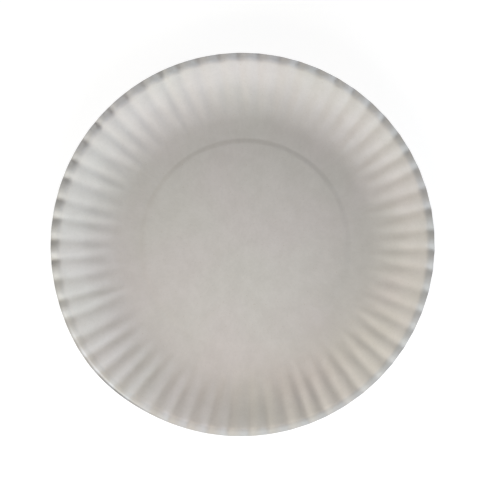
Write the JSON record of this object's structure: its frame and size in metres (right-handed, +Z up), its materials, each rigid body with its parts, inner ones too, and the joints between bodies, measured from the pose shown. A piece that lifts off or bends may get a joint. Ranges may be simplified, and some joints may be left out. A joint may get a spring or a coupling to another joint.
{
  "type": "paper plate",
  "caption": "Round pressed paper plate with a flat floor, a fluted side that curves up and out, and a rounded lip, made as one thin sheet.",
  "frame": {"origin": "centre of the underside, on the plane that the plate stands on", "axes": "+Z up out of the dish, along the plate's round axis; +X and +Y lie level, +Y towards the top of the picture"},
  "size_m": [0.178, 0.178, 0.0162],
  "materials": {
    "paper": "matt uncoated white board"
  },
  "bodies": {
    "root": {"plate": "paper"}
  },
  "joints": []
}
